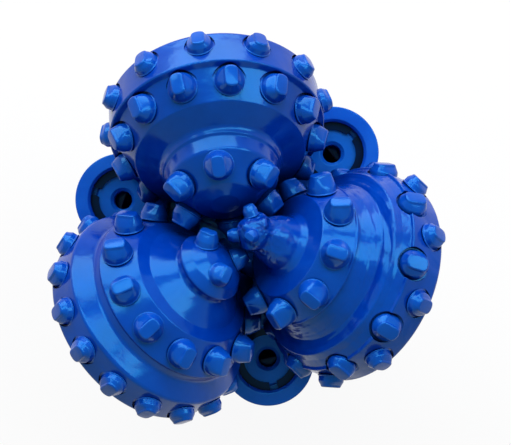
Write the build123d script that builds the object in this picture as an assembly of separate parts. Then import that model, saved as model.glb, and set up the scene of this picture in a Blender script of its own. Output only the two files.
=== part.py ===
"""Three-cone rock drill bit, 8 3/4 in class, with tungsten-carbide chisel inserts.

Frame: origin on the bit axis at the make-up shoulder, +Z towards the cones.
Cones 1, 2 and 3 stand at 90, 210 and 330 degrees about +Z.
"""
from build123d import *
from math import cos, radians, sin, tan
import os

os.makedirs("parts", exist_ok=True)

# ---- driving sizes, mm -------------------------------------------------
gauge_r = 111.125           # radius of the drilled hole
pin_length = 107.95         # tapered connection, shoulder to end
pin_base_r = 57.15          # plain relief next to the shoulder
pin_relief = 12.7           # length of the plain relief
pin_end_r = 42.2            # thread root radius at the small end
pin_root_r = 54.1           # thread root radius at the relief
pin_bore_r = 28.5
shoulder_r = 67.66
shank_r = 84.0
leg_outer_r = 107.6
shank_top = 62.0            # where the legs and bosses start
dome_z = 92.0               # crown of the body between the cones
leg_half_top = 43.0         # half width of a leg at the shirttail
leg_half_low = 60.0         # half width of a leg at its foot

journal_angle = 34.0        # journal axis below the horizontal
journal_offset = 4.76       # skew of the journal axis from the bit axis
journal_z = 206.0           # height where the journal plane meets the axis
leg_face = 95.3             # leg face behind the cone, along the journal
face_gap = 0.3              # leg face to cone back face
cone_back = leg_face - face_gap
cone_reach = 67.0           # radius of the gauge insert crests about the journal

pilot_r = 12.5
pilot_end = 35.0
pilot_foot = 46.0
race_land_r = 25.8
main_r = 26.5
main_start = 60.5
main_end = 86.0
seal_land_r = 28.5
fit_gap = 0.06              # running clearance of the plain bearings
open_gap = 0.5              # clearance of the unloaded turned faces
bush_wall = 3.0
ball_r = 6.35
ball_gap = 0.3
ball_x = 53.5
ball_ring_r = 26.05
ball_count = 12
seal_x = 88.5
seal_wire = 2.35
seal_gap = 0.3
washer_thick = 1.6
washer_r = 21.0

boss_turn = -55.0           # nozzle boss direction measured from its leg
boss_at = 76.0
boss_r = 28.0
boss_top = 118.0
pocket_r = 19.0
pocket_depth = 24.0
nozzle_r = 16.5
nozzle_seat = 4.0
jet_r = 5.6
passage_r = 10.0
plenum_r = 36.0

tank_r = 19.0               # grease reservoir bore in the back of a leg
tank_z = 96.0
tank_depth = 46.0
plug_r = 6.9                # ball loading hole and its plug
plug_gap = 0.1
button_r = 4.75

CONE_TURNS = (90.0, 210.0, 330.0)

# cone outlines, nose to back face: (distance along the journal, radius, corner rounding)
HEEL = ((91.5, 61.0, 2.0), (94.5, 57.5, 1.0), (cone_back, 50.0, 0))
OUTLINE_1 = ((20.8, 0, 0), (20.8, 8, 3), (23, 17, 4), (35.5, 30.8, 3), (43.5, 32, 0.8),
             (44.6, 33.3, 0.6), (47.8, 34.2, 5), (54, 48, 1.2), (70.3, 57.6, 0.8),
             (71, 61.5, 1)) + HEEL
OUTLINE_2 = ((16, 0, 0), (16.2, 5, 3), (18.6, 11, 3), (23, 17, 5), (28.5, 21, 1.5),
             (30.5, 19, 1), (33.5, 19.2, 1.5), (42, 31.5, 1.5), (44, 38.2, 1), (60, 52, 1.2),
             (61.2, 51.2, 0.6), (66, 51.6, 2.5), (72.5, 61.3, 2.5)) + HEEL
OUTLINE_3 = ((-1, 0, 0), (-0.5, 3, 2), (7.6, 11.2, 2), (9.5, 11, 1), (13.5, 10, 4),
             (22, 14, 4), (29, 15.6, 3), (31.9, 18.5, 1.5), (32.6, 29.4, 0.8), (48.3, 41.8, 1),
             (49.5, 38.8, 0.8), (60.5, 46.2, 1.5), (62.5, 54.2, 1.2), (70, 58.8, 0.5),
             (70.4, 60.8, 0.6)) + HEEL

# insert rows: cone, row name, count, start angle, crest x, crest radius,
# lean towards the leg in degrees, diameter, stand-out, grip
ROWS = (
    (1, "gauge", 12, -87.6, 84.6, 66.8, 12, 14.3, 6.5, 9.0),
    (1, "middle", 13, -95.0, 60.5, 61.35, -20, 16.0, 8.7, 10.0),
    (1, "nose", 6, -58.7, 22.3, 32.0, -43, 16.0, 9.0, 8.5),
    (2, "gauge", 16, -95.4, 84.6, 66.8, 12, 14.3, 6.5, 9.0),
    (2, "middle", 12, -82.4, 45.8, 52.6, -40, 16.0, 9.0, 8.0),
    (2, "nose", 3, -85.0, 13.0, 16.0, -55, 12.7, 8.0, 7.0),
    (3, "gauge", 10, 70.0, 84.6, 66.8, 12, 14.3, 6.5, 9.0),
    (3, "middle", 10, 87.8, 72.0, 64.9, -20, 16.0, 7.5, 9.0),
    (3, "inner", 9, 88.2, 34.0, 43.8, -34, 16.0, 10.0, 8.0),
    (3, "nose", 3, -20.0, 0.0, 12.0, -45, 8.0, 6.0, 3.5),
)
CREST_LONG = {16.0: 11.6, 14.3: 10.6, 12.7: 9.2, 8.0: 5.4}
CREST_FLAT = 0.34           # crest width as a share of the diameter
SHOULDER_RISE = 3.0         # plain cylinder above the base plane
SPOT_FACE = 1.3             # room around an insert where the cone is milled flat


def save(shape, name):
    """Write one piece in the shared frame."""
    export_step(shape, f"parts/{name}.step")


def journal_frame(turn):
    """Frame of one journal: X outward along the axis, Y along the skew."""
    a = radians(turn)
    b = radians(journal_angle)
    start = Vector(-sin(a) * journal_offset, cos(a) * journal_offset, journal_z)
    along = Vector(cos(a) * cos(b), sin(a) * cos(b), -sin(b))
    normal = Vector(cos(a) * sin(b), sin(a) * sin(b), cos(b))
    return Location(Plane(origin=start, x_dir=along, z_dir=normal))


def turned_x(points):
    """Solid of revolution about X from (x, radius) points."""
    flat = Plane.XY * make_face(Polyline(*[(x, r) for x, r in points], close=True))
    return revolve(flat, Axis.X, 360)


def rounded_line(points):
    """Edges through (x, radius, rounding) points with the inner corners rounded."""
    edges = []
    last = Vector(*points[0][:2])
    for before, corner, after in zip(points, points[1:], points[2:]):
        mid = Vector(*corner[:2])
        back = Vector(*before[:2]) - mid
        ahead = Vector(*after[:2]) - mid
        half = radians(back.get_angle(ahead)) / 2
        cut = min(corner[2] / tan(half), 0.45 * back.length, 0.45 * ahead.length)
        start = mid + back.normalized() * cut
        end = mid + ahead.normalized() * cut
        centre_way = (back.normalized() + ahead.normalized()).normalized()
        radius = cut * tan(half)
        centre = mid + centre_way * (radius / sin(half))
        edges.append(Line(last, start))
        edges.append(ThreePointArc(start, centre - centre_way * radius, end))
        last = end
    edges.append(Line(last, Vector(*points[-1][:2])))
    return edges


def turned_outline(points):
    """Solid of revolution about X inside a rounded outline that ends at the axis."""
    first = Vector(*points[0][:2])
    final = Vector(*points[-1][:2])
    foot = Vector(final.X, 0)
    edges = rounded_line(points) + [Line(final, foot), Line(foot, first)]
    return revolve(Plane.XY * make_face(edges), Axis.X, 360)


def turned_z(points):
    """Solid of revolution about Z from (radius, z) points."""
    flat = Plane.XZ * make_face(Polyline(*points, close=True))
    return revolve(flat, Axis.Z, 360)


def rod(start, end, radius):
    """Round bar between two points."""
    a = Vector(*start)
    b = Vector(*end)
    plane = Plane(origin=a, z_dir=(b - a))
    return extrude(plane * Circle(radius), (b - a).length)


def ring_x(x, ring_radius, wire):
    """Ring of round wire about X."""
    flat = Plane.XY * Pos(x, ring_radius) * Circle(wire)
    return revolve(flat, Axis.X, 360)


# ---- cones and inserts --------------------------------------------------
def cone_space(margin):
    """Room one turning cone and its inserts need inside the body."""
    top = cone_reach + margin
    points = ((15, 0), (15, 40), (40, 58 + margin), (55, top), (93, top),
              (leg_face, 63), (leg_face, 0))
    return turned_x(points)


def bearing_room():
    """Hollow of a cone for the pilot, balls, bushing and seal."""
    room = turned_x((
        (pilot_end - 0.5, 0), (pilot_end - 0.5, pilot_r + fit_gap),
        (pilot_foot - washer_thick, pilot_r + fit_gap),
        (pilot_foot - washer_thick, race_land_r + open_gap),
        (main_start, race_land_r + open_gap), (main_start, main_r + fit_gap + bush_wall),
        (main_end - 0.3, main_r + fit_gap + bush_wall), (main_end - 0.3, seal_land_r + 5),
        (seal_x + 2.8, seal_land_r + 5), (seal_x + 2.8, seal_land_r + 0.7),
        (cone_back + 5, seal_land_r + 0.7), (cone_back + 5, 0)))
    return room + ring_x(ball_x, ball_ring_r, ball_r + ball_gap)


def insert_blank(diameter, out, grip):
    """One chisel insert about Z with its seat at z = -grip and crest along X."""
    half = diameter / 2
    rise = SHOULDER_RISE
    body = extrude(Plane.XY.offset(-grip) * Circle(half), grip + rise)
    taper = loft([Plane.XY.offset(rise) * Circle(half),
                  Plane.XY.offset(out) * Circle(CREST_LONG[diameter] / 2)])
    body = body + taper
    flat = diameter * CREST_FLAT / 2
    wedge_face = Plane.YZ * make_face(Polyline(
        (-half - 1, -grip - 1), (half + 1, -grip - 1), (half + 1, rise), (half, rise),
        (flat, out), (-flat, out), (-half, rise), (-half - 1, rise), close=True))
    wedge = extrude(wedge_face, half + 2, both=True)
    return body & wedge


def insert_places(row):
    """Locations of one row, in the journal frame."""
    _, _, count, first, x, r, lean, _, out, _ = row
    side = -1 if row[0] == 3 else 1
    t = radians(lean)
    u = Vector(sin(t), 0, cos(t))
    base = Vector(x, 0, r) - u * out
    places = []
    for index in range(count):
        angle = first + side * 360 / count * index
        spin = Rot(-angle, 0, 0)
        places.append(spin * Location(Plane(origin=base, x_dir=Vector(cos(t), 0, -sin(t)), z_dir=u)))
    return places


def row_holes(row):
    """Blind holes of one row, with a shallow spot face."""
    _, _, _, _, _, _, _, diameter, out, grip = row
    drill = extrude(Plane.XY.offset(-grip) * Circle(diameter / 2), grip + 12)
    drill = drill + extrude(Plane.XY * Circle(diameter / 2 + SPOT_FACE), 12)
    return [place * drill for place in insert_places(row)]


def row_inserts(row):
    """All inserts of one row as separate solids."""
    _, _, _, _, _, _, _, diameter, out, grip = row
    blank = insert_blank(diameter, out, grip)
    return [place * blank for place in insert_places(row)]


def make_cone(number, outline):
    """One cone shell with bearing room and insert holes."""
    shell = turned_outline(outline)
    shell = shell - bearing_room()
    for row in ROWS:
        if row[0] == number:
            shell = shell - row_holes(row)
    return shell


def make_bushing():
    """Bearing sleeve pressed in the cone."""
    inner = main_r + fit_gap
    return turned_x(((main_start, inner), (main_start, inner + bush_wall),
                     (main_end - 0.3, inner + bush_wall), (main_end - 0.3, inner)))


def make_washer():
    """Thrust washer between the pilot shoulder and the cone."""
    start = pilot_foot - washer_thick
    inner = pilot_r + 0.5
    return turned_x(((start, inner), (start, washer_r), (pilot_foot, washer_r), (pilot_foot, inner)))


def make_seal():
    """Round seal in the cone mouth."""
    return ring_x(seal_x, seal_land_r + seal_gap + seal_wire, seal_wire)


def make_balls():
    """Retaining balls in the race."""
    ball = Pos(ball_x, 0, ball_ring_r) * Sphere(ball_r)
    return [Rot(360 / ball_count * i, 0, 0) * ball for i in range(ball_count)]


# ---- legs ---------------------------------------------------------------
def core_blank():
    """Turned blank of the whole body: pin, shank and crown."""
    return turned_z((
        (pin_bore_r, -pin_length), (pin_end_r, -pin_length), (pin_root_r, -pin_relief - 3),
        (pin_base_r, -pin_relief), (pin_base_r, 0), (shoulder_r, 0), (shoulder_r + 1, 3),
        (shank_r - 6, 9), (shank_r, 16), (shank_r, shank_top), (76, 84), (62, dome_z + 2),
        (0, dome_z), (0, 70), (plenum_r, 50), (plenum_r, 14), (pin_bore_r, 0)))


def plenum():
    """Room in the middle of the body where the fluid divides."""
    return turned_z(((0, -1), (pin_bore_r, -1), (pin_bore_r, 0), (plenum_r, 14), (plenum_r, 50),
                     (0, 70)))


def leg_arm():
    """Arm behind the cone, down to the shank, with a round shirttail."""
    flare = turned_z(((0, 40), (shank_r, 40), (shank_r, 48), (leg_outer_r, 84),
                      (leg_outer_r, journal_z), (0, journal_z)))
    place = journal_frame(0)
    tail = extrude(Plane.YZ.offset(leg_face) * Circle(leg_half_top), 60)
    web = extrude(Plane.YZ.offset(leg_face) * make_face(Polyline(
        (-leg_half_top, 0), (leg_half_top, 0), (leg_half_low, -115), (leg_half_low, -190),
        (-leg_half_low, -190), (-leg_half_low, -115), close=True)), 90)
    return (place * (tail + web)) & flare


def journal_pin():
    """Bearing pin of a leg, in the journal frame."""
    pin = turned_x((
        (pilot_end, 0), (pilot_end, pilot_r - 1), (pilot_end + 1, pilot_r), (pilot_foot, pilot_r),
        (pilot_foot, race_land_r - 1), (pilot_foot + 1, race_land_r),
        (main_start + 0.5, race_land_r), (main_start + 0.5, main_r), (main_end, main_r),
        (main_end, seal_land_r), (leg_face + 4, seal_land_r), (leg_face + 4, 0)))
    return pin - ring_x(ball_x, ball_ring_r, ball_r + ball_gap)


def sector():
    """Third of the body that one leg forging takes."""
    far = 200
    points = ((0, 0), (far * cos(radians(60)), -far * sin(radians(60))), (2 * far, 0),
              (far * cos(radians(60)), far * sin(radians(60))))
    face = make_face(Polyline(*points, close=True))
    return extrude(Plane.XY.offset(-150) * face, 450)


def plug_line():
    """Start and end of the ball hole, in the journal frame."""
    slope = radians(20)
    start = (ball_x - 0.5, 0, -21.0)
    end = (start[0] + 86 * cos(slope), 0, start[2] + 86 * sin(slope))
    return start, end


def boss_point(turn):
    """Centre of a nozzle boss, in plan."""
    a = radians(turn + boss_turn)
    return boss_at * cos(a), boss_at * sin(a)


def boss_column(turn):
    """Solid column of one nozzle boss."""
    x, y = boss_point(turn)
    column = Pos(x, y, shank_top - 8) * Cylinder(
        boss_r, boss_top - shank_top + 8, align=(Align.CENTER, Align.CENTER, Align.MIN))
    lean = turned_z(((0, 40), (shank_r, 40), (shank_r, 56), (gauge_r - 5, 92),
                     (gauge_r - 5, 140), (0, 140)))
    return column & lean


def boss_passage(turn):
    """Fluid way from the middle of the body to one nozzle."""
    x, y = boss_point(turn)
    bend = boss_top - pocket_depth
    low = (x * 0.28, y * 0.28, 48)
    return rod(low, (x, y, bend + 1), passage_r)


def pocket_space(turn):
    """Room for nozzle, seal and snap ring in a boss."""
    x, y = boss_point(turn)
    floor = boss_top - pocket_depth
    hole = Pos(x, y, 0) * turned_z((
        (0, floor), (nozzle_r, floor), (nozzle_r, floor + 15.4), (pocket_r, floor + 15.4),
        (pocket_r, floor + 16), (pocket_r + 1.6, floor + 16), (pocket_r + 1.6, floor + 18.4),
        (pocket_r, floor + 18.4), (pocket_r, boss_top - 1.5), (pocket_r + 1.5, boss_top),
        (pocket_r + 1.5, boss_top + 5), (0, boss_top + 5)))
    groove = Pos(x, y, floor + 6) * Torus(nozzle_r, 1.8)
    return hole + groove


def tank_space():
    """Reservoir bore in the back of the leg at azimuth 0, with ring groove."""
    mouth = leg_outer_r + 6
    bore = Pos(0, 0, tank_z) * turned_x((
        (leg_outer_r - tank_depth, 0), (leg_outer_r - tank_depth, tank_r - 3),
        (leg_outer_r - tank_depth + 26, tank_r - 3), (leg_outer_r - tank_depth + 26, tank_r),
        (leg_outer_r - 10.4, tank_r), (leg_outer_r - 10.4, tank_r + 1.6),
        (leg_outer_r - 8, tank_r + 1.6), (leg_outer_r - 8, tank_r), (mouth, tank_r), (mouth, 0)))
    return bore


def button_places():
    """Seats of the shirttail buttons at azimuth 0: turn about Z and height."""
    return ((-15, 158), (0, 166), (15, 158), (-20, 140), (20, 140))


def make_button(extra, out):
    """Wear button or its hole, at azimuth 0 and height 0, pointing along X."""
    start = leg_outer_r - 6
    return rod((start, 0, 0), (leg_outer_r + out, 0, 0), button_r + extra)


def make_leg(turn):
    """One leg forging: third of the body, arm and journal pin."""
    leg = core_blank() + leg_arm()
    leg = leg & sector()
    for other in (0, 120, 240):
        leg = leg - journal_frame(other) * cone_space(3)
        leg = leg - boss_column(other)
        leg = leg - boss_passage(other)
    leg = leg + journal_frame(0) * journal_pin()
    start, end = plug_line()
    leg = leg - journal_frame(0) * rod(start, end, plug_r)
    leg = leg - plenum()
    leg = leg - tank_space()
    leg = leg - breaker_slot()
    for side, height in button_places():
        leg = leg - Rot(0, 0, side) * Pos(0, 0, height) * make_button(0, 3)
    return Rot(0, 0, turn) * leg


def breaker_slot():
    """Flat milled in the shank for the bit breaker."""
    return Pos(shank_r + 8, 0, 34) * Box(32, 66, 30)


def make_boss(turn):
    """Nozzle boss with pocket and fluid way, clear of the turning cones."""
    boss = boss_column(turn) - boss_passage(turn) - pocket_space(turn)
    for other in (0, 120, 240):
        boss = boss - journal_frame(other + turn) * cone_space(3)
    return boss


def make_nozzle(turn):
    """Carbide nozzle seated on the pocket floor."""
    x, y = boss_point(turn)
    floor = boss_top - pocket_depth
    body = turned_z((
        (passage_r, floor), (nozzle_r - 0.1, floor), (nozzle_r - 0.1, floor + 15.4),
        (nozzle_r - 1, floor + 16), (jet_r + 2, floor + 16), (jet_r, floor + 14.5),
        (jet_r, floor + 8)))
    return Pos(x, y, 0) * body


def make_nozzle_seal(turn):
    """Round seal in the boss groove."""
    x, y = boss_point(turn)
    return Pos(x, y, boss_top - pocket_depth + 6) * (
        Torus(nozzle_r, 1.8) - Cylinder(nozzle_r - 0.1, 20))


def make_nozzle_ring(turn):
    """Open snap ring that keeps the nozzle down."""
    x, y = boss_point(turn)
    floor = boss_top - pocket_depth
    ring = turned_z(((nozzle_r - 2, floor + 16), (pocket_r + 1.6, floor + 16),
                     (pocket_r + 1.6, floor + 18.4), (nozzle_r - 2, floor + 18.4)))
    ring = ring - Rot(0, 0, turn + boss_turn) * Pos(pocket_r, 0, floor + 17) * Box(12, 5, 8)
    return Pos(x, y, 0) * ring


def make_tank_parts(turn):
    """Reservoir canister, cap and snap ring of one leg."""
    back = leg_outer_r - tank_depth
    can = turned_x(((back, 0), (back, tank_r - 3), (back + 26, tank_r - 3), (back + 26, tank_r - 5),
                    (back + 2, tank_r - 5), (back + 2, 0)))
    cap = turned_x(((back + 26, 0), (back + 26, tank_r), (leg_outer_r - 10.4, tank_r),
                    (leg_outer_r - 10.4, 7), (leg_outer_r - 13, 6), (leg_outer_r - 13, 0)))
    ring = turned_x(((leg_outer_r - 10.4, tank_r - 3), (leg_outer_r - 10.4, tank_r + 1.6),
                     (leg_outer_r - 8, tank_r + 1.6), (leg_outer_r - 8, tank_r - 3)))
    ring = ring - Pos(leg_outer_r - 9, 0, -tank_r) * Box(8, 6, 10)
    place = Rot(0, 0, turn) * Pos(0, 0, tank_z)
    return place * can, place * cap, place * ring


def make_plug(turn):
    """Plug of the ball loading hole, dished over the race."""
    start, end = plug_line()
    plug = rod(start, end, plug_r - plug_gap) - ring_x(ball_x, ball_ring_r, ball_r + ball_gap)
    skin = turned_z(((0, 60), (leg_outer_r - 0.4, 60), (leg_outer_r - 0.4, journal_z), (0, journal_z)))
    inside = turned_x(((pilot_foot + 1, 0), (pilot_foot + 1, race_land_r),
                       (200, race_land_r), (200, 0)))
    return Rot(0, 0, turn) * ((journal_frame(0) * (plug & inside)) & skin)


def make_buttons(turn):
    """Wear buttons in the back of one leg."""
    return [Rot(0, 0, turn + side) * Pos(0, 0, height) * make_button(0, 0.8)
            for side, height in button_places()]


def make_welds():
    """Weld beads along the three seams of the shank."""
    bead = extrude(Plane.XY.offset(18) * Pos(shank_r, 0) * Circle(3.2), shank_top - 26)
    bead = bead - turned_z(((0, 0), (shank_r, 0), (shank_r, 90), (0, 90)))
    return [Rot(0, 0, turn + 60) * bead for turn in CONE_TURNS]


def group(shapes):
    """Several separate solids in one piece."""
    solids = [solid for shape in shapes for solid in shape.solids()]
    return Compound(children=solids)


def main():
    """Build and save every piece."""
    outlines = (OUTLINE_1, OUTLINE_2, OUTLINE_3)
    for number, (turn, outline) in enumerate(zip(CONE_TURNS, outlines), start=1):
        place = journal_frame(turn)
        save(make_leg(turn), f"leg_{number}")
        save(place * make_cone(number, outline), f"cone_{number}")
        save(place * make_bushing(), f"cone_bushing_{number}")
        save(place * make_washer(), f"thrust_washer_{number}")
        save(place * make_seal(), f"cone_seal_{number}")
        save(group([place * ball for ball in make_balls()]), f"retaining_balls_{number}")
        save(make_boss(turn), f"nozzle_boss_{number}")
        save(make_nozzle(turn), f"nozzle_{number}")
        save(make_nozzle_seal(turn), f"nozzle_seal_{number}")
        save(make_nozzle_ring(turn), f"nozzle_ring_{number}")
        can, cap, ring = make_tank_parts(turn)
        save(can, f"reservoir_canister_{number}")
        save(cap, f"reservoir_cap_{number}")
        save(ring, f"reservoir_ring_{number}")
        save(make_plug(turn), f"ball_plug_{number}")
        save(group(make_buttons(turn)), f"shirttail_buttons_{number}")
    for row in ROWS:
        place = journal_frame(CONE_TURNS[row[0] - 1])
        save(group([place * item for item in row_inserts(row)]), f"inserts_{row[0]}_{row[1]}")
    save(group(make_welds()), "seam_welds")


main()
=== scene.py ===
# %% [markdown]
# # A three-cone rock bit under blue enamel
# The CAD model comes in as a fixed frame. This lesson dresses it: enamel, smooth carbide
# inserts, a cut thread, weld beads, a pale floor and soft light.

# %% Load the frame
import bpy
import bmesh
from math import cos, sin, pi, radians
from mathutils import Matrix, Vector, Quaternion


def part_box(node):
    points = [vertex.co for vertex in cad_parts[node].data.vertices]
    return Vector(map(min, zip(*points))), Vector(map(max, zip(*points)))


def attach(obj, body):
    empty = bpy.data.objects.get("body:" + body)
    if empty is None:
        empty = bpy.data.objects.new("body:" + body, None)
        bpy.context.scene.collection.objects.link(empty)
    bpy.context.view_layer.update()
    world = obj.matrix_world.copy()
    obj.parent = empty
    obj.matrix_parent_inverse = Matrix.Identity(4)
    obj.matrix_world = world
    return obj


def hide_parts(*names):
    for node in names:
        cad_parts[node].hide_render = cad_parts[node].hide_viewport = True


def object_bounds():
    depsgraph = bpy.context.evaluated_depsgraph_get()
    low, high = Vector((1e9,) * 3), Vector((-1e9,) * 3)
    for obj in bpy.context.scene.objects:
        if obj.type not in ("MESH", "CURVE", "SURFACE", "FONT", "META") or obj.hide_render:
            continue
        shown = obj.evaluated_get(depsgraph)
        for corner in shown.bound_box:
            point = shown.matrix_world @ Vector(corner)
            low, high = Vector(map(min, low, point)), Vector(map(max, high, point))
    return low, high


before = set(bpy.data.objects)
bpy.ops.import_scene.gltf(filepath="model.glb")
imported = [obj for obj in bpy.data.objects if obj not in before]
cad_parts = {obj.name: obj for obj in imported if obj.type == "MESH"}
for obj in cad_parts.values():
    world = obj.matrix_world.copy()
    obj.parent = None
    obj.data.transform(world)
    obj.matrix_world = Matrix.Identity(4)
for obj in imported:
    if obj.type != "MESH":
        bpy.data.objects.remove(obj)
cad_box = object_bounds()
print("CAD box", cad_box)

# %% [markdown]
# ## Sizes that the pieces share
# Blender works in metres. The cones turn on three journals. Each slopes 34 degrees down on its
# way out from the bit axis and passes that axis a little to one side, so one small frame, turned
# to three places, serves all of them.

# %% Journal frames
MM = 0.001
TURNS = (90.0, 210.0, 330.0)
LEAN = radians(34.0)
SKEW = 4.76 * MM
JOURNAL_Z = 206.0 * MM


def journal_matrix(turn):
    """Frame of one journal: X outward along it, Y along the skew."""
    a = radians(turn)
    along = Vector((cos(a) * cos(LEAN), sin(a) * cos(LEAN), -sin(LEAN)))
    side = Vector((-sin(a), cos(a), 0.0))
    up = along.cross(side)
    start = side * SKEW + Vector((0, 0, JOURNAL_Z))
    m = Matrix((along, side, up)).transposed().to_4x4()
    m.translation = start
    return m


print("journals lean", round(LEAN * 180 / pi), "degrees at turns", TURNS)

# %% [markdown]
# ## Node helpers
# Every finish here is a Principled shader fed by noise. A texture image could carry the pattern,
# but noise on Object coordinates has no seams and follows a cone when it turns. A few small
# helpers keep the materials short: an empty tree, a noise, a colour ramp, a stack of bumps, a
# value faded in over a span, and steps on vectors.

# %% Empty material and noise
def new_material(name):
    """Material with an empty node tree apart from Principled and output."""
    m = bpy.data.materials.new(name)
    m.use_nodes = True
    tree = m.node_tree
    tree.nodes.clear()
    out = tree.nodes.new("ShaderNodeOutputMaterial")
    skin = tree.nodes.new("ShaderNodeBsdfPrincipled")
    tree.links.new(skin.outputs[0], out.inputs[0])
    return m, tree, skin


def object_place(tree):
    """Object coordinates."""
    return tree.nodes.new("ShaderNodeTexCoord").outputs["Object"]


def noise(tree, scale, detail=3.0, rough=0.5, swirl=0.0, place=None):
    """Noise on Object coordinates, or on another vector where one is given."""
    if place is None:
        place = object_place(tree)
    n = tree.nodes.new("ShaderNodeTexNoise")
    n.inputs["Scale"].default_value = scale
    n.inputs["Detail"].default_value = detail
    n.inputs["Roughness"].default_value = rough
    n.inputs["Distortion"].default_value = swirl
    tree.links.new(place, n.inputs["Vector"])
    return n.outputs[0]


# %% Colour ramp and bumps
BEVEL_SAMPLES = 6


def ramp(tree, source, stops):
    """Colour ramp from a list of (position, colour)."""
    r = tree.nodes.new("ShaderNodeValToRGB")
    tree.links.new(source, r.inputs[0])
    first, last = r.color_ramp.elements
    first.position, first.color = stops[0][0], (*stops[0][1], 1)
    last.position, last.color = stops[-1][0], (*stops[-1][1], 1)
    for position, color in stops[1:-1]:
        step = r.color_ramp.elements.new(position)
        step.color = (*color, 1)
    return r.outputs[0]


def bump(tree, skin, layers, edge=0.0):
    """Stack of bumps, each (source, distance), over edges rounded by the paint."""
    last = None
    if edge:
        soft = tree.nodes.new("ShaderNodeBevel")
        soft.samples = BEVEL_SAMPLES
        soft.inputs["Radius"].default_value = edge
        last = soft.outputs[0]
    for source, distance in layers:
        b = tree.nodes.new("ShaderNodeBump")
        b.inputs["Distance"].default_value = distance
        tree.links.new(source, b.inputs["Height"])
        if last:
            tree.links.new(last, b.inputs["Normal"])
        last = b.outputs[0]
    tree.links.new(last, skin.inputs["Normal"])


# %% A value faded in over a span
def map_range(tree, source, start, end, low=0.0, high=1.0):
    """Source drawn from start..end onto low..high."""
    node = tree.nodes.new("ShaderNodeMapRange")
    node.inputs["From Min"].default_value = start
    node.inputs["From Max"].default_value = end
    node.inputs["To Min"].default_value = low
    node.inputs["To Max"].default_value = high
    tree.links.new(source, node.inputs["Value"])
    return node.outputs[0]


def times(tree, first, second):
    """Product of two sources."""
    node = tree.nodes.new("ShaderNodeMath")
    node.operation = "MULTIPLY"
    tree.links.new(first, node.inputs[0])
    tree.links.new(second, node.inputs[1])
    return node.outputs[0]


def faded(tree, height, along, span):
    """Height that grows from nothing to full over a span of the value along."""
    return times(tree, map_range(tree, along, *span), height)


def vector_step(tree, operation, first, second=None):
    """Vector Math node whose inputs are sources or fixed vectors."""
    node = tree.nodes.new("ShaderNodeVectorMath")
    node.operation = operation
    for socket, value in zip(node.inputs, (first, second)):
        if isinstance(value, bpy.types.NodeSocket):
            tree.links.new(value, socket)
        elif value is not None:
            socket.default_value = value
    return node.outputs["Value" if operation in ("DOT_PRODUCT", "LENGTH") else "Vector"]


# %% [markdown]
# ## Paint that ran on the third cone
# The third cone took the most paint. It ran down the neck toward the nose and was drawn out in
# rings in the wide groove. Sculpting it would fix the runs in the mesh; here both are heights
# for a bump. Plain noise gives drops, so for the rings each point is first turned into its
# distance along the cone's axis and its distance from it, which are the same all round.

# %% Runs and rings
NOSE_FADE = (85.0 * MM, 105.0 * MM)
RUN_SCALE = 130.0
RUN_SWIRL = 0.8
GROOVE_START = (46.5 * MM, 50.0 * MM)
GROOVE_END = (66.0 * MM, 60.0 * MM)
RING_SCALE = 160.0
RING_BREAKS = 0.16
RUN_DETAIL = 1.5
RUN_HEIGHT = 3.4 * MM
RING_HEIGHT = 2.4 * MM


def nose_runs(tree, turn):
    """Height of the drops of paint on the neck and nose of the cone at a turn."""
    toward_nose = -journal_matrix(turn).col[0].to_3d()
    along = vector_step(tree, "DOT_PRODUCT", object_place(tree), toward_nose)
    drops = noise(tree, RUN_SCALE, RUN_DETAIL, swirl=RUN_SWIRL)
    return faded(tree, drops, along, NOSE_FADE)


def groove_rings(tree, turn):
    """Height of the paint drawn out in rings in the wide groove of the cone at a turn."""
    journal = journal_matrix(turn)
    axis = journal.col[0].to_3d()
    arm = vector_step(tree, "SUBTRACT", object_place(tree), journal.translation)
    out = vector_step(tree, "SUBTRACT", arm, vector_step(tree, "PROJECT", arm, axis))
    along = vector_step(tree, "DOT_PRODUCT", arm, axis)
    ring = tree.nodes.new("ShaderNodeCombineXYZ")
    tree.links.new(along, ring.inputs[0])
    tree.links.new(vector_step(tree, "LENGTH", out), ring.inputs[1])
    breaks = vector_step(tree, "MULTIPLY", object_place(tree), (RING_BREAKS,) * 3)
    place = vector_step(tree, "ADD", ring.outputs[0], breaks)
    strokes = noise(tree, RING_SCALE, RUN_DETAIL, place=place)
    return faded(tree, faded(tree, strokes, along, GROOVE_START), along, GROOVE_END)


# %% [markdown]
# ## Where the gloss is weaker, and painted shade in gaps
# Two things weaken the gloss of the paint. Ambient Occlusion paints shade into narrow gaps: it
# darkens the colour there and weakens the gloss. And a pigment gloss stays blue at grazing
# edges, where the shader's own would turn white, so Layer Weight fades it.

# %% Painted shade in gaps, and edges
GAP_SHADE_REACH = 32.0 * MM
GAP_SHADE_SAMPLES = 8
CLOSED, OPEN = 0.10, 0.60
# Darkest painted shade, as a share of the colour, in the narrowest gaps.
DARKEST_PAINTED_SHADE = 0.12
PLAIN_GLOSS, EDGE_GLOSS = 0.5, 0.06
EDGE_START, EDGE_END = 0.45, 0.92


def painted_gap_shade(tree):
    """Painted shade: 1 on open surfaces, falling in narrow gaps, for colour and gloss."""
    gap = tree.nodes.new("ShaderNodeAmbientOcclusion")
    gap.samples = GAP_SHADE_SAMPLES
    gap.inputs["Distance"].default_value = GAP_SHADE_REACH
    return map_range(tree, gap.outputs["AO"], CLOSED, OPEN, DARKEST_PAINTED_SHADE, 1.0)


def scaled_color(tree, color, share):
    """Colour times a share."""
    tone = tree.nodes.new("ShaderNodeVectorMath")
    tone.operation = "SCALE"
    tree.links.new(color, tone.inputs[0])
    tree.links.new(share, tone.inputs["Scale"])
    return tone.outputs[0]


def edge_gloss(tree):
    """Specular level that fades toward grazing edges."""
    view = tree.nodes.new("ShaderNodeLayerWeight")
    view.inputs["Blend"].default_value = 0.5
    return map_range(tree, view.outputs["Facing"], EDGE_START, EDGE_END, PLAIN_GLOSS, EDGE_GLOSS)


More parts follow.
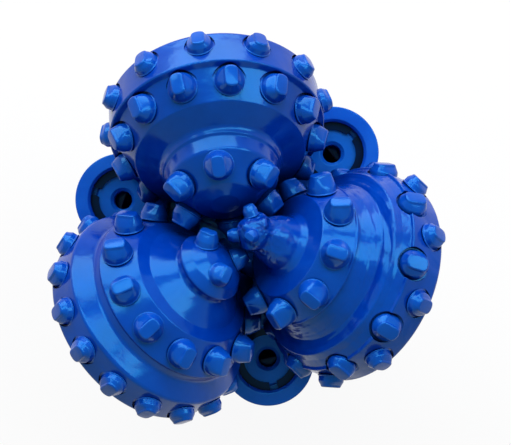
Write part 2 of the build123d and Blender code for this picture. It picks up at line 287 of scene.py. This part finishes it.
# %% [markdown]
# ## Blue enamel
# The whole bit was sprayed in one coat of glossy cobalt enamel. Such a coat is not one flat
# colour: it is deeper where it lies thick, has a fine orange peel, and sags a little before it
# dries. The gloss of this pigment is blue rather than white, so the specular tint is set blue.

# %% Enamel recipe
ENAMEL_GLOSS = (0.05, 0.54, 1.0, 1.0)
TONE_STOPS = (0.30, 0.52, 0.75)
TONE_SCALE, TONE_DETAIL, TONE_ROUGHNESS = 28.0, 4.0, 0.55
SAG_SCALE, SAG_DETAIL, SAG_SWIRL = 70.0, 1.5, 0.6
PEEL_SCALE, PEEL_DETAIL = 420.0, 2.0
PEEL = 0.04 * MM
SAG = 0.35 * MM
COAT_WEIGHT, COAT_ROUGHNESS = 0.05, 0.07


def enamel(name, tones, peel=PEEL, sag=SAG, edge=0.7 * MM, rough=0.15, ior=1.6,
           paint_gap_shade=True, ran_on=None):
    """Glossy sprayed enamel with drift, sags, peel, soft edges, painted gap shade, runs on one
    cone.
    """
    m, tree, skin = new_material(name)
    drift = noise(tree, TONE_SCALE, TONE_DETAIL, TONE_ROUGHNESS)
    color = ramp(tree, drift, tuple(zip(TONE_STOPS, tones)))
    gloss = edge_gloss(tree)
    # Painted shade: Ambient Occlusion darkens the colour and the gloss in narrow gaps.
    if paint_gap_shade:
        share = painted_gap_shade(tree)
        color = scaled_color(tree, color, share)
        gloss = times(tree, gloss, share)
    tree.links.new(color, skin.inputs["Base Color"])
    tree.links.new(gloss, skin.inputs["Specular IOR Level"])
    skin.inputs["Roughness"].default_value = rough
    skin.inputs["IOR"].default_value = ior
    skin.inputs["Specular Tint"].default_value = ENAMEL_GLOSS
    skin.inputs["Coat Weight"].default_value = COAT_WEIGHT
    skin.inputs["Coat Roughness"].default_value = COAT_ROUGHNESS
    layers = [(noise(tree, SAG_SCALE, SAG_DETAIL, swirl=SAG_SWIRL), sag),
              (noise(tree, PEEL_SCALE, PEEL_DETAIL), peel)]
    if ran_on is not None:
        layers.append((nose_runs(tree, ran_on), RUN_HEIGHT))
        layers.append((groove_rings(tree, ran_on), RING_HEIGHT))
    bump(tree, skin, layers, edge)
    return m


# %% Enamel of each piece, with lit and shaded copies
PLAIN = ((0.0, 0.024, 0.28), (0.0, 0.038, 0.37), (0.001, 0.057, 0.43))
# Painted light: a lighter copy of the one enamel, for the inserts.
LIT_INSERT_TONES = ((0.0, 0.036, 0.33), (0.001, 0.058, 0.43), (0.004, 0.088, 0.50))
# Painted light: a lighter copy of the one enamel, for the nozzle bosses.
LIT_BOSS_TONES = ((0.0, 0.040, 0.42), (0.003, 0.068, 0.51), (0.008, 0.100, 0.58))
# Painted light: a lighter copy of the one enamel for the nozzles in their pockets, without the
# painted gap shade.
LIT_NOZZLE_TONES = ((0.001, 0.050, 0.40), (0.002, 0.085, 0.52), (0.006, 0.120, 0.60))
# Painted shade: a near-black copy of the one enamel, with weak gloss, for the rings deep in the
# nozzle pockets.
POCKET_SHADE_TONES = ((0.0, 0.002, 0.020), (0.0, 0.003, 0.032), (0.0, 0.006, 0.060))

cone_blue = enamel("cone_enamel", PLAIN)
dripped_blue = enamel("dripped_cone_enamel", PLAIN, sag=0.9 * MM, ran_on=TURNS[2])
leg_blue = enamel("leg_enamel", PLAIN, peel=0.12 * MM, edge=1.5 * MM)
weld_blue = enamel("weld_enamel", PLAIN, peel=0.1 * MM, edge=0.0, rough=0.20)
insert_painted_light = enamel("insert_enamel", LIT_INSERT_TONES, sag=0.4 * MM, edge=0.0)
boss_painted_light = enamel("boss_enamel", LIT_BOSS_TONES, peel=0.1 * MM, edge=1.2 * MM)
nozzle_painted_light = enamel("nozzle_enamel", LIT_NOZZLE_TONES, edge=0.6 * MM, rough=0.3, paint_gap_shade=False)
pocket_painted_shade = enamel("nozzle_ring_enamel", POCKET_SHADE_TONES, edge=0.0, ior=1.25)
print("enamels", [m.name for m in bpy.data.materials if m.name.endswith("_enamel")])

# %% [markdown]
# ## Bare metals and rubber
# Inside the bit nothing is painted: bronze bushings, silvered washers, polished balls, steel
# canisters and black seals. Each metal drifts between a dark and a light tone, as machined
# stock does.

# %% Metals
GRAIN_DETAIL, GRAIN_ROUGHNESS = 6.0, 0.6
DARK_STOP, LIGHT_STOP = 0.3, 0.7


def metal(name, dark, light, scale, rough, peel):
    """Bare metal with fine scratches of tone."""
    m, tree, skin = new_material(name)
    grain = noise(tree, scale, GRAIN_DETAIL, GRAIN_ROUGHNESS)
    color = ramp(tree, grain, ((DARK_STOP, dark), (LIGHT_STOP, light)))
    tree.links.new(color, skin.inputs["Base Color"])
    skin.inputs["Metallic"].default_value = 1.0
    skin.inputs["Roughness"].default_value = rough
    bump(tree, skin, ((grain, peel),))
    return m


canister = metal("canister_steel", (0.3, 0.3, 0.32), (0.5, 0.5, 0.52), 200, 0.35, 0.02 * MM)
bronze = metal("bearing_bronze", (0.42, 0.25, 0.10), (0.62, 0.42, 0.2), 250, 0.3, 0.02 * MM)
silver = metal("washer_silver", (0.6, 0.6, 0.6), (0.8, 0.8, 0.8), 250, 0.25, 0.01 * MM)
ball_steel = metal("ball_steel", (0.55, 0.55, 0.56), (0.75, 0.75, 0.76), 250, 0.12, 0.01 * MM)


# %% Rubber
def rubber_material():
    """Black seal rubber with a dull bloom."""
    m, tree, skin = new_material("seal_rubber")
    bloom = noise(tree, 300.0)
    tones = ((0.3, (0.008, 0.008, 0.008)), (0.8, (0.03, 0.03, 0.03)))
    tree.links.new(ramp(tree, bloom, tones), skin.inputs["Base Color"])
    skin.inputs["Roughness"].default_value = 0.6
    bump(tree, skin, ((bloom, 0.02 * MM),))
    return m


rubber = rubber_material()

# %% [markdown]
# ## A finish for every CAD node
# The nodes are named for what they are, so the first part of a name picks the finish. Longer
# names come first where one begins with another.

# %% Dress the CAD nodes
FINISHES = (
    ("leg_", leg_blue), ("nozzle_boss_", boss_painted_light), ("nozzle_seal_", rubber),
    ("cone_seal_", rubber), ("nozzle_ring_", pocket_painted_shade), ("reservoir_ring_", leg_blue),
    ("nozzle_", nozzle_painted_light), ("reservoir_canister_", canister), ("reservoir_cap_", leg_blue),
    ("ball_plug_", leg_blue), ("shirttail_", leg_blue), ("seam_", weld_blue),
    ("cone_bushing_", bronze), ("thrust_", silver), ("cone_3", dripped_blue),
    ("cone_", cone_blue), ("inserts_", insert_painted_light), ("retaining_", ball_steel),
)


def finish_for(node):
    """First finish whose prefix the node has."""
    return next(m for prefix, m in FINISHES if node.startswith(prefix))


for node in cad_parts:
    obj = bpy.data.objects[node]
    for index in range(len(obj.material_slots)):
        obj.material_slots[index].material = finish_for(node)
print("finished", len(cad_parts), "nodes")

# %% [markdown]
# ## The carbide inserts
# Each insert is a round carbide pin pushed into the cone. Its top is moulded to a chisel: two
# flats lean in to a short blunt crest. The CAD solid has the true flats with sharp edges. The
# real ones are rounded in the mould and rounded again by the paint, which also creeps up the
# foot of each pin. One could bevel the solid, but a bevel fails where flats meet a cone at a
# thin angle. Instead each ring of points is worked out: a circle and a slot are blended by a
# power mean, which gives one soft outline at every height.

# %% Sizes of an insert, in millimetres
AROUND = 44
SOFTNESS = 9.0
CREST_LONG = {16.0: 11.6, 14.3: 10.6, 12.7: 9.2, 8.0: 5.4}
CREST_FLAT = 0.34
SHOULDER_RISE = 3.0
SHOULDER_BLEND = 0.3
SKIRT = 0.5
SKIRT_LIFT = 0.03
BURIED = 0.5
PIN_CHAMFER = 0.8
SOCKET_GAP = 0.05
CREST_EDGE = 0.08
FLANK_DRAW = 0.8
SKIRT_STEPS, FLANK_STEPS, CREST_STEPS = 5, 9, 5
FIRST_FLANK_STEP = 0.6
print("insert diameters", sorted(CREST_LONG))


# %% Rings of one insert
def soft_ring(round_r, slot_half, z):
    """Outline of a circle cut by a slot, with its corners blended, at height z."""
    ring = []
    for k in range(AROUND):
        a = 2 * pi * k / AROUND
        across = abs(sin(a)) / slot_half
        r = ((1 / round_r) ** SOFTNESS + across ** SOFTNESS) ** (-1 / SOFTNESS)
        ring.append((r * cos(a), r * sin(a), z))
    return ring


def plain_ring(r, z):
    """Circle of points at height z."""
    turns = [2 * pi * k / AROUND for k in range(AROUND)]
    return [(r * cos(a), r * sin(a), z) for a in turns]


def chisel_ring(diameter, out, level, inset, z):
    """Outline of the chisel at a level, drawn in by an inset and put at height z."""
    half = diameter / 2
    t = (level - SHOULDER_RISE) / (out - SHOULDER_RISE)
    round_r = half + t * (CREST_LONG[diameter] / 2 - half) - inset
    slot_half = half + t * (diameter * CREST_FLAT / 2 - half) - inset * FLANK_DRAW
    return soft_ring(round_r, slot_half, z)


def foot_rings(half, grip):
    """Rings of the pin in its socket and of the paint that creeps up its foot."""
    pin = half - SOCKET_GAP
    rings = [plain_ring(half - PIN_CHAMFER, -grip), plain_ring(pin, -grip + PIN_CHAMFER),
             plain_ring(pin, -BURIED), plain_ring(half + SKIRT, -BURIED)]
    for step in range(SKIRT_STEPS + 1):
        a = step / SKIRT_STEPS * pi / 2
        z = SKIRT_LIFT + SKIRT * (1 - cos(a))
        rings.append(plain_ring(half + SKIRT * (1 - sin(a)), z))
    return rings


def insert_rings(diameter, out, grip):
    """All rings of one insert from its seat to its crest."""
    half = diameter / 2
    edge = CREST_EDGE * diameter
    rings = foot_rings(half, grip)
    rings.append(soft_ring(half, half, SHOULDER_RISE - SHOULDER_BLEND))
    top = out - edge
    for step in range(FLANK_STEPS):
        t = (step + FIRST_FLANK_STEP) / (FLANK_STEPS - 1 + FIRST_FLANK_STEP)
        z = SHOULDER_RISE + t * (top - SHOULDER_RISE)
        rings.append(chisel_ring(diameter, out, z, 0.0, z))
    for step in range(1, CREST_STEPS + 1):
        a = step / CREST_STEPS * pi / 2
        rings.append(chisel_ring(diameter, out, top, edge * (1 - cos(a)), top + edge * sin(a)))
    return rings


# %% Mesh of one insert
def insert_mesh(name, diameter, out, grip):
    """Closed mesh of one insert about Z, crest along X, in metres."""
    rings = insert_rings(diameter, out, grip)
    points = [Vector(p) * MM for ring in rings for p in ring]
    faces = []
    for low in range(len(rings) - 1):
        for k in range(AROUND):
            n = (k + 1) % AROUND
            faces.append((low * AROUND + k, low * AROUND + n,
                          (low + 1) * AROUND + n, (low + 1) * AROUND + k))
    faces.append(tuple(reversed(range(AROUND))))
    last = (len(rings) - 1) * AROUND
    points.append(Vector((0, 0, out)) * MM)
    for k in range(AROUND):
        faces.append((last + k, last + (k + 1) % AROUND, len(points) - 1))
    mesh = bpy.data.meshes.new(name)
    mesh.from_pydata(points, [], faces)
    mesh.shade_smooth()
    return mesh


# %% [markdown]
# ## A row of inserts with Geometry Nodes
# A row is one insert set at equal steps round the journal. An Array modifier could do it with a
# helper empty, but a node tree keeps count, first angle and step as named inputs. The tree makes
# that many points on the axis and turns one instance on each.

# %% Named inputs
def add_input(tree, name, kind, value=None):
    """Named input of a node group, returning its identifier."""
    item = tree.interface.new_socket(name, in_out="INPUT", socket_type=kind)
    if value is not None:
        item.default_value = value
    return item.identifier


# %% Build the row tree
def row_tree():
    """Node group that repeats its geometry round the X axis."""
    tree = bpy.data.node_groups.new("insert_row", "GeometryNodeTree")
    ids = {"piece": add_input(tree, "Insert", "NodeSocketGeometry"),
           "count": add_input(tree, "Count", "NodeSocketInt", 12),
           "first": add_input(tree, "First Angle", "NodeSocketFloat", 0.0),
           "step": add_input(tree, "Step", "NodeSocketFloat", 0.5),
           "finish": add_input(tree, "Finish", "NodeSocketMaterial")}
    tree.interface.new_socket("Row", in_out="OUTPUT", socket_type="NodeSocketGeometry")
    start = tree.nodes.new("NodeGroupInput")
    end = tree.nodes.new("NodeGroupOutput")
    line = tree.nodes.new("GeometryNodeMeshLine")
    line.inputs["Offset"].default_value = (0, 0, 0)
    index = tree.nodes.new("GeometryNodeInputIndex")
    angle = tree.nodes.new("ShaderNodeMath")
    angle.operation = "MULTIPLY_ADD"
    turn = tree.nodes.new("ShaderNodeCombineXYZ")
    put = tree.nodes.new("GeometryNodeInstanceOnPoints")
    real = tree.nodes.new("GeometryNodeRealizeInstances")
    paint = tree.nodes.new("GeometryNodeSetMaterial")
    links = tree.links
    links.new(start.outputs["Count"], line.inputs["Count"])
    links.new(index.outputs[0], angle.inputs[0])
    links.new(start.outputs["Step"], angle.inputs[1])
    links.new(start.outputs["First Angle"], angle.inputs[2])
    links.new(angle.outputs[0], turn.inputs["X"])
    links.new(line.outputs[0], put.inputs["Points"])
    links.new(start.outputs["Insert"], put.inputs["Instance"])
    links.new(turn.outputs[0], put.inputs["Rotation"])
    links.new(put.outputs[0], real.inputs[0])
    links.new(real.outputs[0], paint.inputs["Geometry"])
    links.new(start.outputs["Finish"], paint.inputs["Material"])
    links.new(paint.outputs[0], end.inputs[0])
    return tree, ids


# %% Turn a node tree's result into a mesh
def grown(obj, tree, values):
    """Plain mesh that a node group makes from obj."""
    mod = obj.modifiers.new("grow", "NODES")
    mod.node_group = tree
    for identifier, value in values.items():
        mod[identifier] = value
    obj.update_tag()
    deps = bpy.context.evaluated_depsgraph_get()
    deps.update()
    mesh = bpy.data.meshes.new_from_object(obj.evaluated_get(deps))
    obj.modifiers.remove(mod)
    return mesh


# %% The ten rows
# cone, row, count, start angle, crest distance, crest radius, lean, diameter, stand-out, grip
ROWS = (
    (1, "gauge", 12, -87.6, 84.6, 66.8, 12, 14.3, 6.5, 9.0),
    (1, "middle", 13, -95.0, 60.5, 61.35, -20, 16.0, 8.7, 10.0),
    (1, "nose", 6, -58.7, 22.3, 32.0, -43, 16.0, 9.0, 8.5),
    (2, "gauge", 16, -95.4, 84.6, 66.8, 12, 14.3, 6.5, 9.0),
    (2, "middle", 12, -82.4, 45.8, 52.6, -40, 16.0, 9.0, 8.0),
    (2, "nose", 3, -85.0, 13.0, 16.0, -55, 12.7, 8.0, 7.0),
    (3, "gauge", 10, 70.0, 84.6, 66.8, 12, 14.3, 6.5, 9.0),
    (3, "middle", 10, 87.8, 72.0, 64.9, -20, 16.0, 7.5, 9.0),
    (3, "inner", 9, 88.2, 34.0, 43.8, -34, 16.0, 10.0, 8.0),
    (3, "nose", 3, -20.0, 0.0, 12.0, -45, 8.0, 6.0, 3.5),
)
row_group, row_ids = row_tree()
print("inserts in all", sum(row[2] for row in ROWS))


# %% Grow the rows
def insert_seat(x, r, lean, out):
    """Place of the first insert of a row in its journal frame."""
    t = radians(lean)
    up = Vector((sin(t), 0, cos(t)))
    crest = Vector((cos(t), 0, -sin(t)))
    m = Matrix((crest, up.cross(crest), up)).transposed().to_4x4()
    m.translation = (Vector((x, 0, r)) - up * out) * MM
    return m


def grow_row(cone, row, count, first, x, r, lean, diameter, out, grip):
    """One row of smooth inserts in place of its CAD node."""
    mesh = insert_mesh("insert_blank", diameter, out, grip)
    mesh.transform(insert_seat(x, r, lean, out))
    blank = bpy.data.objects.new("insert_blank", mesh)
    bpy.context.scene.collection.objects.link(blank)
    side = -1 if cone == 3 else 1  # rows of the third cone are counted the other way round
    values = {row_ids["count"]: count, row_ids["first"]: -radians(first),
              row_ids["step"]: -side * 2 * pi / count, row_ids["finish"]: insert_painted_light}
    name = f"inserts_{cone}_{row}"
    grown_mesh = grown(blank, row_group, values)
    bpy.data.objects.remove(blank)
    grown_mesh.transform(journal_matrix(TURNS[cone - 1]))
    grown_mesh.name = f"{name}_smooth"
    piece = bpy.data.objects.new(f"{name}_smooth", grown_mesh)
    bpy.context.scene.collection.objects.link(piece)
    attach(piece, f"rolling_cone_{cone}")
    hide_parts(name)
    low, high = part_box(name)
    drift = max((Vector(piece.bound_box[0]) - Vector(low)).length,
                (Vector(piece.bound_box[6]) - Vector(high)).length)
    print(name, count, "inserts, box differs by", round(drift * 1000, 2), "mm")


for row in ROWS:
    grow_row(*row)

# %% [markdown]
# ## The pin thread
# The pin screws into the drill string with a coarse tapered thread of five turns to the inch.
# The CAD pin stops at the thread root. A Screw modifier could turn a profile, but it can't
# taper, so the ridge is swept in code: one closed six-sided section at each step of the helix.
# The ridge fades to nothing at both ends, as a cut thread runs out.

# %% Sizes of the thread, in millimetres
PITCH = 5.08
PIN_TOP = -15.0
PIN_END = -105.0
ROOT_TOP = 54.1
ROOT_END = 42.2
PIN_RELIEF = 12.7
PIN_LENGTH = 107.95
THREAD_HEIGHT = 2.7
CREST_HALF = 0.75
FOOT_HALF = 2.45
FOOT_SUNK = 0.4
LEAST_RISE = 0.02
STEPS_PER_TURN = 60


def root_radius(z):
    """Radius of the CAD pin at height z."""
    t = (-z - PIN_RELIEF) / (PIN_LENGTH - PIN_RELIEF)
    return ROOT_TOP + t * (ROOT_END - ROOT_TOP)


# %% Sweep the thread ridge
def thread_section(fade):
    """Six corners (offset along the pin, lift off the root) of the ridge, lowered by a fade."""
    lift = THREAD_HEIGHT * max(fade, LEAST_RISE)
    left = ((-FOOT_HALF, -FOOT_SUNK), (-FOOT_HALF, 0.0), (-CREST_HALF, lift))
    right = tuple((-dz, rise) for dz, rise in reversed(left))
    return left + right


def thread_points(steps):
    """Section after section up the helix."""
    points = []
    for k in range(steps + 1):
        a = 2 * pi * k / STEPS_PER_TURN
        z = PIN_END + PITCH * k / STEPS_PER_TURN
        fade = min(1.0, k / STEPS_PER_TURN, (steps - k) / STEPS_PER_TURN)
        for dz, rise in thread_section(fade):
            r = root_radius(z + dz) + rise
            points.append(Vector((r * cos(a), r * sin(a), z + dz)) * MM)
    return points


def thread_faces(steps):
    """Side faces between the sections and a cap at each end."""
    n = len(thread_section(1.0))
    faces = []
    for k in range(steps):
        for j in range(n):
            i = (j + 1) % n
            faces.append((k * n + j, k * n + i, (k + 1) * n + i, (k + 1) * n + j))
    faces.append(tuple(range(n - 1, -1, -1)))
    faces.append(tuple(steps * n + j for j in range(n)))
    return faces


def thread_ridge():
    """Closed helical ridge over the pin."""
    turns = (PIN_TOP - PIN_END) / PITCH
    steps = int(turns * STEPS_PER_TURN)
    mesh = bpy.data.meshes.new("pin_thread")
    mesh.from_pydata(thread_points(steps), [], thread_faces(steps))
    bm = bmesh.new()
    bm.from_mesh(mesh)
    bmesh.ops.recalc_face_normals(bm, faces=bm.faces)
    bm.to_mesh(mesh)
    bm.free()
    mesh.materials.append(leg_blue)
    piece = bpy.data.objects.new("pin_thread", mesh)
    bpy.context.scene.collection.objects.link(piece)
    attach(piece, "bit_body")
    print("thread ridge of", round(turns, 1), "turns")


thread_ridge()

# %% [markdown]
# ## Weld beads
# The three forgings are welded along the seams of the shank. A weld is a row of overlapping
# puddles. The node tree sets one round drop on each point of a line and varies its size with a
# fixed seed.

# %% Weld tree
LEAST_DROP = 0.86
DROP_SEGMENTS, DROP_RINGS = 16, 8


def weld_tree():
    """Node group that lays overlapping drops along a line of points."""
    tree = bpy.data.node_groups.new("weld_bead", "GeometryNodeTree")
    ids = {"line": add_input(tree, "Line", "NodeSocketGeometry"),
           "width": add_input(tree, "Drop Radius", "NodeSocketFloat", 0.003),
           "seed": add_input(tree, "Seed", "NodeSocketInt", 7),
           "finish": add_input(tree, "Finish", "NodeSocketMaterial")}
    tree.interface.new_socket("Bead", in_out="OUTPUT", socket_type="NodeSocketGeometry")
    start = tree.nodes.new("NodeGroupInput")
    end = tree.nodes.new("NodeGroupOutput")
    drop = tree.nodes.new("GeometryNodeMeshUVSphere")
    drop.inputs["Segments"].default_value = DROP_SEGMENTS
    drop.inputs["Rings"].default_value = DROP_RINGS
    vary = tree.nodes.new("FunctionNodeRandomValue")
    vary.inputs[2].default_value = LEAST_DROP
    vary.inputs[3].default_value = 1.0
    put = tree.nodes.new("GeometryNodeInstanceOnPoints")
    real = tree.nodes.new("GeometryNodeRealizeInstances")
    smooth = tree.nodes.new("GeometryNodeSetShadeSmooth")
    paint = tree.nodes.new("GeometryNodeSetMaterial")
    links = tree.links
    links.new(start.outputs["Drop Radius"], drop.inputs["Radius"])
    links.new(start.outputs["Seed"], vary.inputs["Seed"])
    links.new(start.outputs["Line"], put.inputs["Points"])
    links.new(drop.outputs[0], put.inputs["Instance"])
    links.new(vary.outputs[1], put.inputs["Scale"])
    links.new(put.outputs[0], real.inputs[0])
    links.new(real.outputs[0], smooth.inputs[0])
    links.new(smooth.outputs[0], paint.inputs["Geometry"])
    links.new(start.outputs["Finish"], paint.inputs["Material"])
    links.new(paint.outputs[0], end.inputs[0])
    return tree, ids


# %% Lay the seam welds
SHANK_R = 84.0
BEAD_LOW = 20.5
BEAD_HIGH = 51.5
DROP_R = 3.1
DROPS = 22
BEAD_SEED = 7
TO_SEAM = 60.0


def seam_welds():
    """Beads up the three seams of the shank."""
    points = []
    for turn in TURNS:
        a = radians(turn + TO_SEAM)
        for k in range(DROPS):
            z = BEAD_LOW + (BEAD_HIGH - BEAD_LOW) * k / (DROPS - 1)
            points.append(Vector((SHANK_R * cos(a), SHANK_R * sin(a), z)) * MM)
    mesh = bpy.data.meshes.new("weld_line")
    mesh.from_pydata(points, [], [])
    line = bpy.data.objects.new("weld_line", mesh)
    bpy.context.scene.collection.objects.link(line)
    tree, ids = weld_tree()
    values = {ids["width"]: DROP_R * MM, ids["seed"]: BEAD_SEED, ids["finish"]: weld_blue}
    bead = grown(line, tree, values)
    bpy.data.objects.remove(line)
    piece = bpy.data.objects.new("seam_weld_beads", bead)
    bpy.context.scene.collection.objects.link(piece)
    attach(piece, "bit_body")
    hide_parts("seam_welds")
    print("weld drops", len(points))


seam_welds()

# %% [markdown]
# ## Floor
# The bit stands on its pin end on a pale floor. A plain white floor would show grey in soft
# light, and more light would bleach the paint. So to the camera and in reflections the floor is
# mostly its own glow, and the rest is a true surface that takes the shadow.

# %% Floor and backdrop
FLOOR_GLOW = 0.90
FLOOR_HALF = 12.0


def seen_share(tree, share):
    """Share for rays from the camera or off a glossy surface, 0 for the rest."""
    path = tree.nodes.new("ShaderNodeLightPath")
    both = tree.nodes.new("ShaderNodeMath")
    both.operation = "MAXIMUM"
    scaled = tree.nodes.new("ShaderNodeMath")
    scaled.operation = "MULTIPLY"
    scaled.inputs[1].default_value = share
    tree.links.new(path.outputs["Is Camera Ray"], both.inputs[0])
    tree.links.new(path.outputs["Is Glossy Ray"], both.inputs[1])
    tree.links.new(both.outputs[0], scaled.inputs[0])
    return scaled.outputs[0]


def plain_floor():
    """White floor that shows nearly white to the camera and still takes a shadow."""
    m, tree, skin = new_material("pale_floor")
    out = next(n for n in tree.nodes if n.type == "OUTPUT_MATERIAL")
    skin.inputs["Base Color"].default_value = (0.9, 0.9, 0.9, 1)
    skin.inputs["Roughness"].default_value = 0.8
    glow = tree.nodes.new("ShaderNodeEmission")
    glow.inputs["Color"].default_value = (1, 1, 1, 1)
    glow.inputs["Strength"].default_value = 1.0
    mix = tree.nodes.new("ShaderNodeMixShader")
    tree.links.new(seen_share(tree, FLOOR_GLOW), mix.inputs[0])
    tree.links.new(skin.outputs[0], mix.inputs[1])
    tree.links.new(glow.outputs[0], mix.inputs[2])
    tree.links.new(mix.outputs[0], out.inputs[0])
    mesh = bpy.data.meshes.new("floor")
    z = cad_box[0][2]
    s = FLOOR_HALF
    mesh.from_pydata([(-s, -s, z), (s, -s, z), (s, s, z), (-s, s, z)], [], [(0, 1, 2, 3)])
    mesh.materials.append(m)
    floor = bpy.data.objects.new("floor", mesh)
    bpy.context.scene.collection.objects.link(floor)
    print("floor at", round(z * 1000, 1), "mm")


plain_floor()

# %% [markdown]
# ## Light
# Glossy paint shows its lamps as bright shapes, so their size and place matter more than their
# power. A wide window on the side of the first cone gives the long highlights, a strip above it
# catches the tops of the cones, and a small lamp to the right lights the flats of the inserts.
# The world fills the shadows a little and is white to the camera and in reflections.

# %% World
ROOM_COLOR = (0.9, 0.95, 1.0, 1)
ROOM_STRENGTH = 0.15


def studio_world():
    """Dim even room, white to the camera and in reflections."""
    world = bpy.data.worlds.new("studio")
    bpy.context.scene.world = world
    world.use_nodes = True
    tree = world.node_tree
    tree.nodes.clear()
    out = tree.nodes.new("ShaderNodeOutputWorld")
    room = tree.nodes.new("ShaderNodeBackground")
    room.inputs[0].default_value = ROOM_COLOR
    room.inputs[1].default_value = ROOM_STRENGTH
    white = tree.nodes.new("ShaderNodeBackground")
    white.inputs[0].default_value = (1, 1, 1, 1)
    mix = tree.nodes.new("ShaderNodeMixShader")
    tree.links.new(seen_share(tree, 1.0), mix.inputs[0])
    tree.links.new(room.outputs[0], mix.inputs[1])
    tree.links.new(white.outputs[0], mix.inputs[2])
    tree.links.new(mix.outputs[0], out.inputs[0])


studio_world()
print("world", bpy.context.scene.world.name)

# %% Lamps
AIM = Vector((0.0, 0.0, 0.2))
# name, place in metres, width, height, watts
LAMPS = (
    ("window_lamp", (-0.15, 1.35, 0.75), 2.2, 1.0, 28),
    ("ceiling_lamp", (0.15, 0.72, 1.46), 1.5, 0.6, 12),
    ("side_lamp", (1.0, 0.21, 1.15), 0.6, 0.6, 5.5),
)


def lamp(name, place, wide, high, power):
    """Soft window of light aimed at the cones."""
    data = bpy.data.lights.new(name, "AREA")
    data.shape = "RECTANGLE"
    data.size = wide
    data.size_y = high
    data.energy = power
    obj = bpy.data.objects.new(name, data)
    obj.location = place
    obj.rotation_euler = (AIM - Vector(place)).to_track_quat("-Z", "Y").to_euler()
    bpy.context.scene.collection.objects.link(obj)
    print(name, power, "W")


for row in LAMPS:
    lamp(*row)

# %% [markdown]
# ## Camera
# The camera looks almost straight down the bit axis from under a metre, turned a little so that
# the first cone is at the top.

# %% Place the camera
SENSOR_MM = 36.0
LENS_MM = 91.6
CAMERA_PLACE = Vector((0.0105, -0.0157, 0.9074))
CAMERA_SPIN = Vector((0.0293, 0.0024, -0.1312))


def place_camera():
    """Camera turned from straight down by the spin vector."""
    data = bpy.data.cameras.new("camera")
    data.sensor_width = SENSOR_MM
    data.lens = LENS_MM
    obj = bpy.data.objects.new("camera", data)
    turn = Quaternion(CAMERA_SPIN.normalized(), CAMERA_SPIN.length).to_matrix().to_4x4()
    obj.matrix_world = Matrix.Translation(CAMERA_PLACE) @ turn
    bpy.context.scene.collection.objects.link(obj)
    bpy.context.scene.camera = obj
    print("camera", LENS_MM, "mm at", tuple(round(v, 3) for v in CAMERA_PLACE))


place_camera()
bpy.context.scene.view_settings.view_transform = "Standard"
